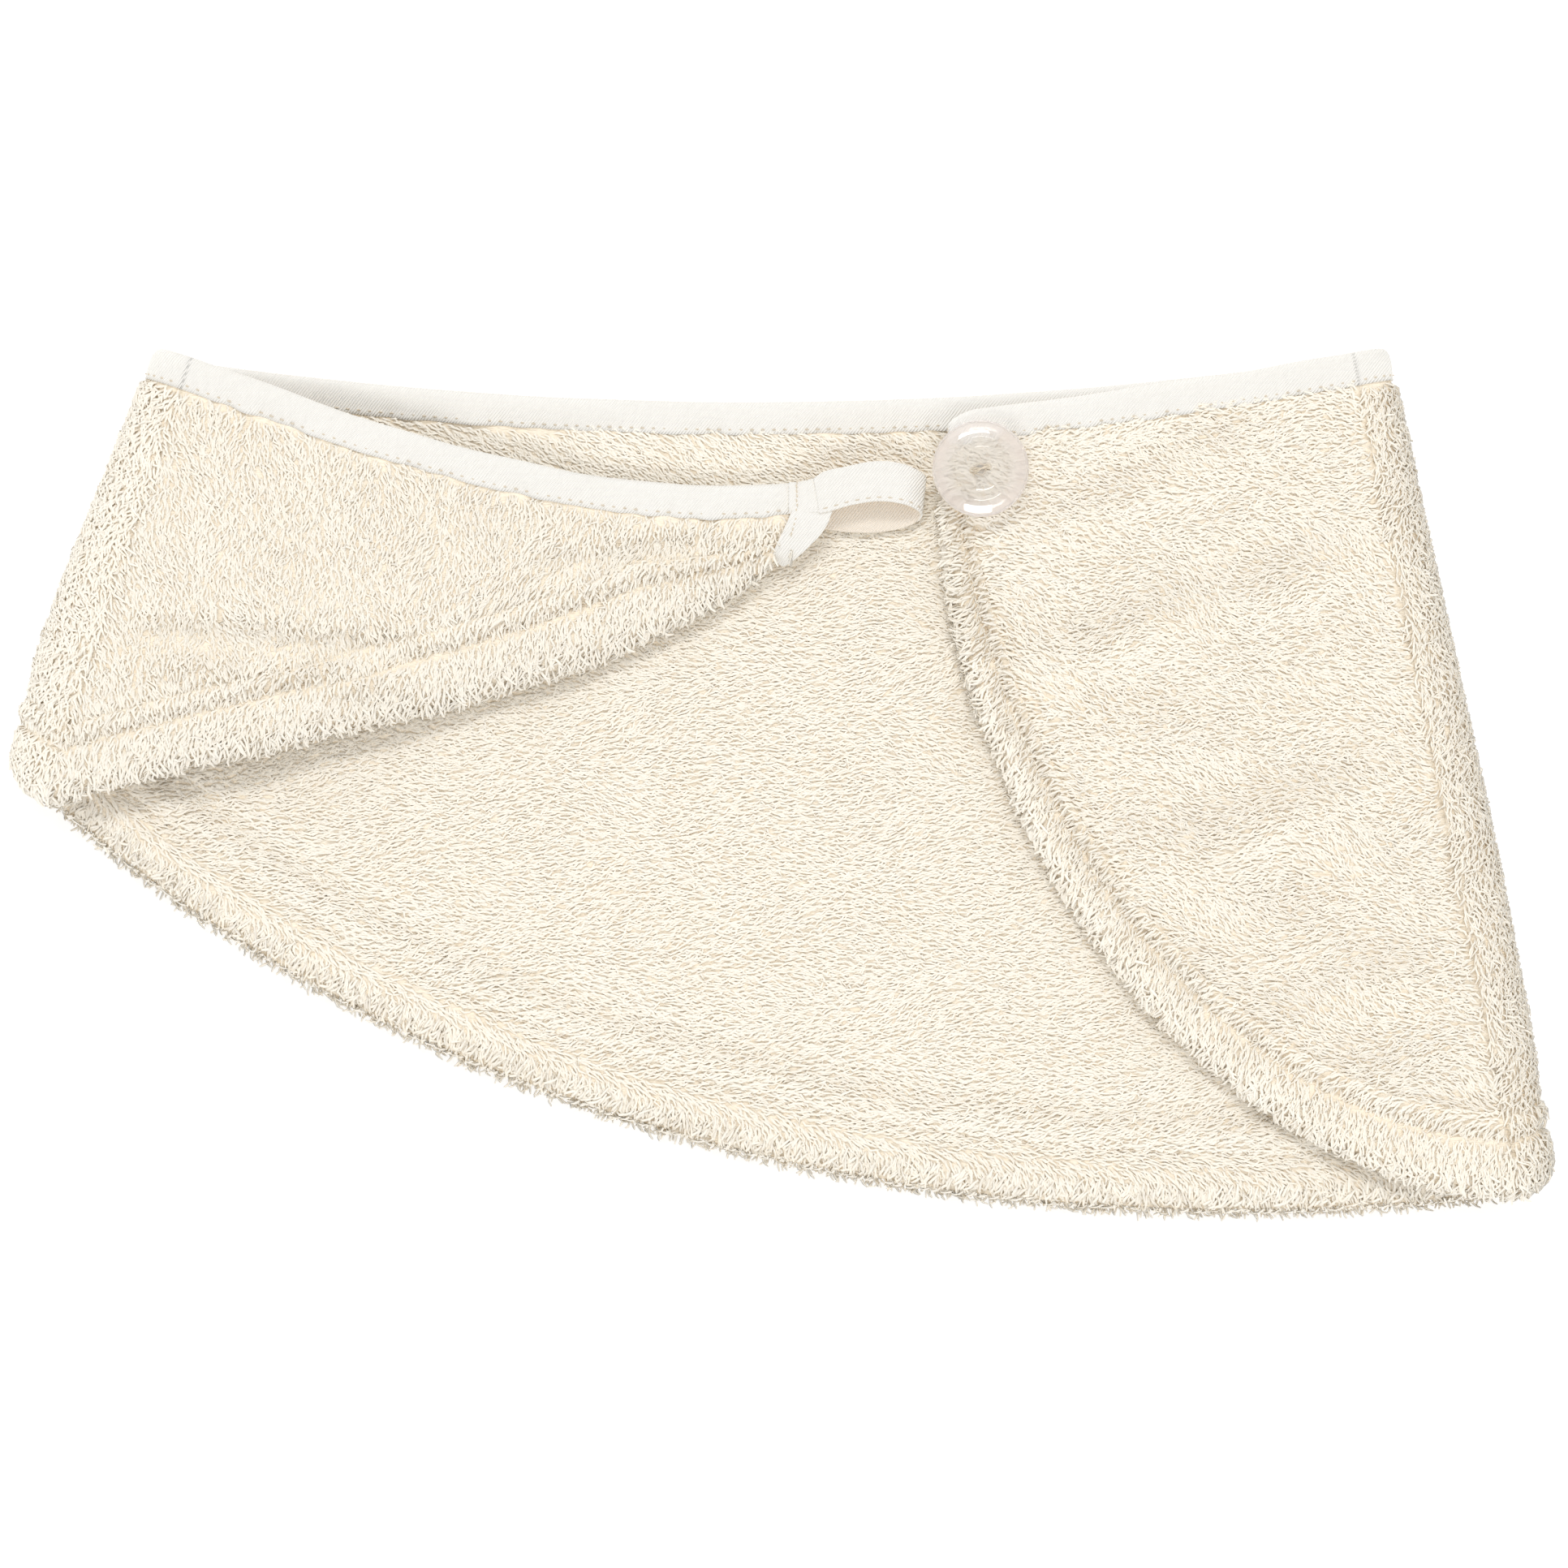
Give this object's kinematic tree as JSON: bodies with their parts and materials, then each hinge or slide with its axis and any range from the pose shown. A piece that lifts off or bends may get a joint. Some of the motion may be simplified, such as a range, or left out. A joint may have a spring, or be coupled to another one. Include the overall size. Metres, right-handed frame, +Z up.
{
  "type": "spa headband",
  "caption": "Flat-folded terry hair band for spa use: a half-moon of towelling, tape-bound on its straight edge, hemmed on its curve, closed by a tape loop and a clear button.",
  "frame": {"origin": "middle of the folded headband's footprint, on the surface that it lies on", "axes": "+X from the loop end to the button end, +Y from the curved hem to the bound edge, +Z up from the back panel to the folded ends"},
  "size_m": [0.376, 0.2118, 0.02],
  "materials": {
    "terry": "cream looped cotton towelling, matt and shaggy",
    "binding_tape": "off-white folded cotton tape, fine twill",
    "thread": "cream cotton sewing thread",
    "clear_button": "clear, polished, faint warm tint"
  },
  "bodies": {
    "back_panel": {"back_terry": "terry", "back_hem": "terry", "back_binding": "binding_tape", "back_binding_needle_thread": "thread", "back_binding_bobbin_thread": "thread", "back_hem_needle_thread": "thread", "back_hem_bobbin_thread": "thread"},
    "loop_end": {"loop_end_terry": "terry", "loop_end_hem": "terry", "loop_end_binding": "binding_tape", "loop_end_binding_needle_thread": "thread", "loop_end_binding_bobbin_thread": "thread", "loop_end_hem_needle_thread": "thread", "loop_end_hem_bobbin_thread": "thread", "loop_end_tail_tape": "binding_tape", "loop_bar_tack": "thread"},
    "loop": {"loop_tape": "binding_tape", "loop_edge_thread": "thread"},
    "button_end": {"button_end_terry": "terry", "button_end_hem": "terry", "button_end_binding": "binding_tape", "button_end_binding_needle_thread": "thread", "button_end_binding_bobbin_thread": "thread", "button_end_hem_needle_thread": "thread", "button_end_hem_bobbin_thread": "thread", "button_back_stitches": "thread"},
    "shank": {"button_thread_shank": "thread"},
    "button": {"button": "clear_button", "button_sewing_thread": "thread"}
  },
  "joints": [
    {"name": "loop_end_fold", "type": "hinge", "parent": "back_panel", "child": "loop_end", "pos_m": [-0.15292, 0.10609, 0.01], "axis": [-0.3162, -0.9487, 0], "range_deg": [0, 178]},
    {"name": "button_end_fold", "type": "hinge", "parent": "back_panel", "child": "button_end", "pos_m": [0.14758, 0.10609, 0.0085], "axis": [-0.1952, 0.9808, 0], "range_deg": [0, 178]},
    {"name": "loop_swing", "type": "hinge", "parent": "loop_end", "child": "loop", "pos_m": [0.00588, 0.0686, 0.0125], "axis": [0, -1, 0], "range_deg": [0, 120]},
    {"name": "shank_lean", "type": "hinge", "parent": "button_end", "child": "shank", "pos_m": [0.04848, 0.07589, 0.0127], "axis": [1, 0, 0], "range_deg": [-8, 8], "stiffness_Nm_per_rad": 0.002},
    {"name": "button_tilt", "type": "hinge", "parent": "shank", "child": "button", "pos_m": [0.04848, 0.07589, 0.0148], "axis": [0, 1, 0], "range_deg": [-8, 8], "stiffness_Nm_per_rad": 0.002}
  ]
}
